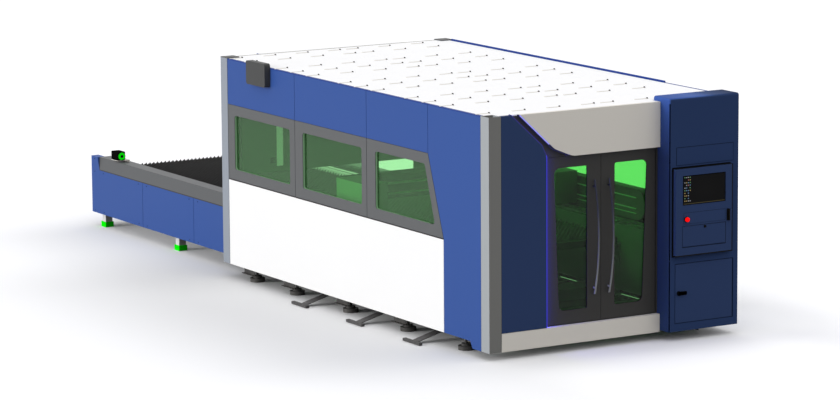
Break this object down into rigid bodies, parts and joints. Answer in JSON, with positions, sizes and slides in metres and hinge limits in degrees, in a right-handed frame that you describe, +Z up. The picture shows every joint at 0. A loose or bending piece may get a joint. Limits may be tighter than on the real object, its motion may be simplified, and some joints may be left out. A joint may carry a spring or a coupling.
{
  "type": "fiber laser cutting machine",
  "caption": "Enclosed fiber laser cutting machine with side windows, front doors, operator console and an exchange table behind it.",
  "frame": {"origin": "on the floor, under the middle of the whole machine's box", "axes": "+Z up, +Y from the front doors back along the machine to the exchange table, +X to the right seen from the front"},
  "size_m": [2.81, 8.728, 2.27],
  "materials": {
    "blue_paint": "satin powder coat",
    "navy_paint": "satin powder coat",
    "gray_paint": "satin powder coat",
    "white_paint": "satin powder coat",
    "beige_paint": "satin powder coat",
    "dark_paint": "satin powder coat",
    "machine_paint": "semi-gloss enamel",
    "bare_steel": "ground and mill finish",
    "aluminium": "anodised",
    "green_glass": "tinted, clear",
    "screen_glass": "glossy",
    "light_bar": "diffusing, lit",
    "black_plastic": "moulded",
    "red_plastic": "moulded",
    "green_plastic": "moulded"
  },
  "bodies": {
    "cabin": {"bed_frame": "machine_paint", "y_rails": "bare_steel", "bed_pallet_rails": "machine_paint", "cabin_frame": "machine_paint", "front_left_post": "gray_paint", "rear_posts": "gray_paint", "left_upper_panels": "blue_paint", "left_front_panel": "blue_paint", "left_lower_panel": "white_paint", "left_window_frames": "gray_paint", "left_window_panes": "green_glass", "right_upper_panels": "blue_paint", "right_front_panel": "blue_paint", "right_lower_panel": "white_paint", "right_window_frames": "gray_paint", "right_window_panes": "green_glass", "roof_panel": "white_paint", "roof_clips": "aluminium", "sign_box": "gray_paint", "front_panel": "navy_paint", "visor": "beige_paint", "sill": "beige_paint", "light_strip": "light_bar", "door_frame": "dark_paint", "console_cabinet": "navy_paint", "operator_panel": "navy_paint", "screen": "screen_glass", "leveling_feet": "machine_paint", "chain_duct": "white_paint", "rear_wall": "white_paint", "gate_housing": "blue_paint", "table_frame": "machine_paint", "table_panels": "blue_paint", "table_guards": "gray_paint", "table_end_cover": "blue_paint", "table_feet": "green_plastic", "safety_sensor": "black_plastic"},
    "gantry": {"gantry_beam": "machine_paint", "gantry_covers": "white_paint"},
    "carriage": {"carriage": "white_paint"},
    "cutting_head": {"cutting_head": "aluminium"},
    "inner_pallet": {"inner_pallet": "machine_paint", "inner_pallet_slats": "bare_steel"},
    "outer_pallet": {"outer_pallet": "machine_paint", "outer_pallet_slats": "bare_steel"},
    "rear_gate": {"rear_gate": "aluminium"},
    "front_door_left": {"front_door_left": "dark_paint", "door_pane_left": "green_glass", "door_handle_left": "aluminium"},
    "front_door_right": {"front_door_right": "dark_paint", "door_pane_right": "green_glass", "door_handle_right": "aluminium"},
    "keyboard_flap": {"keyboard_flap": "navy_paint", "keyboard": "black_plastic"},
    "console_door": {"console_door": "navy_paint"},
    "console_latch": {"console_latch": "bare_steel"},
    "emergency_stop": {"emergency_stop": "red_plastic"},
    "scrap_drawer_1": {"scrap_drawer_1": "machine_paint"},
    "scrap_drawer_2": {"scrap_drawer_2": "machine_paint"},
    "scrap_drawer_3": {"scrap_drawer_3": "machine_paint"}
  },
  "joints": [
    {"name": "gantry_travel", "type": "slide", "parent": "cabin", "child": "gantry", "axis": [0, 1, 0], "range_m": [-1.63, 1.41]},
    {"name": "carriage_travel", "type": "slide", "parent": "gantry", "child": "carriage", "axis": [1, 0, 0], "range_m": [-0.72, 0.72]},
    {"name": "head_height", "type": "slide", "parent": "carriage", "child": "cutting_head", "axis": [0, 0, 1], "range_m": [-0.1, 0]},
    {"name": "inner_pallet_travel", "type": "slide", "parent": "cabin", "child": "inner_pallet", "axis": [0, 1, 0], "range_m": [0, 3.905]},
    {"name": "outer_pallet_travel", "type": "slide", "parent": "cabin", "child": "outer_pallet", "axis": [0, 1, 0], "range_m": [-3.905, 0]},
    {"name": "rear_gate_lift", "type": "slide", "parent": "cabin", "child": "rear_gate", "axis": [0, 0, 1], "range_m": [-0.55, 0]},
    {"name": "front_door_left_hinge", "type": "hinge", "parent": "cabin", "child": "front_door_left", "pos_m": [-0.597, -4.072, 1.026], "axis": [0, 0, -1], "range_deg": [0, 90]},
    {"name": "front_door_right_hinge", "type": "hinge", "parent": "cabin", "child": "front_door_right", "pos_m": [0.589, -4.072, 1.026], "axis": [0, 0, 1], "range_deg": [0, 90]},
    {"name": "keyboard_flap_hinge", "type": "hinge", "parent": "cabin", "child": "keyboard_flap", "pos_m": [0.9735, -4.326, 0.893], "axis": [1, 0, 0], "range_deg": [0, 90]},
    {"name": "console_door_hinge", "type": "hinge", "parent": "cabin", "child": "console_door", "pos_m": [1.323, -4.274, 0.446], "axis": [0, 0, 1], "range_deg": [0, 100]},
    {"name": "console_latch_turn", "type": "hinge", "parent": "console_door", "child": "console_latch", "pos_m": [0.725, -4.284, 0.45], "axis": [0, -1, 0], "range_deg": [0, 90]},
    {"name": "emergency_stop_press", "type": "slide", "parent": "cabin", "child": "emergency_stop", "axis": [0, 1, 0], "range_m": [0, 0.005]},
    {"name": "scrap_drawer_1_travel", "type": "slide", "parent": "cabin", "child": "scrap_drawer_1", "axis": [-1, 0, 0], "range_m": [0, 1]},
    {"name": "scrap_drawer_2_travel", "type": "slide", "parent": "cabin", "child": "scrap_drawer_2", "axis": [-1, 0, 0], "range_m": [0, 1]},
    {"name": "scrap_drawer_3_travel", "type": "slide", "parent": "cabin", "child": "scrap_drawer_3", "axis": [-1, 0, 0], "range_m": [0, 1]}
  ],
  "couplings": [
    {"joint": "outer_pallet_travel", "follows": "inner_pallet_travel", "ratio": -1}
  ]
}
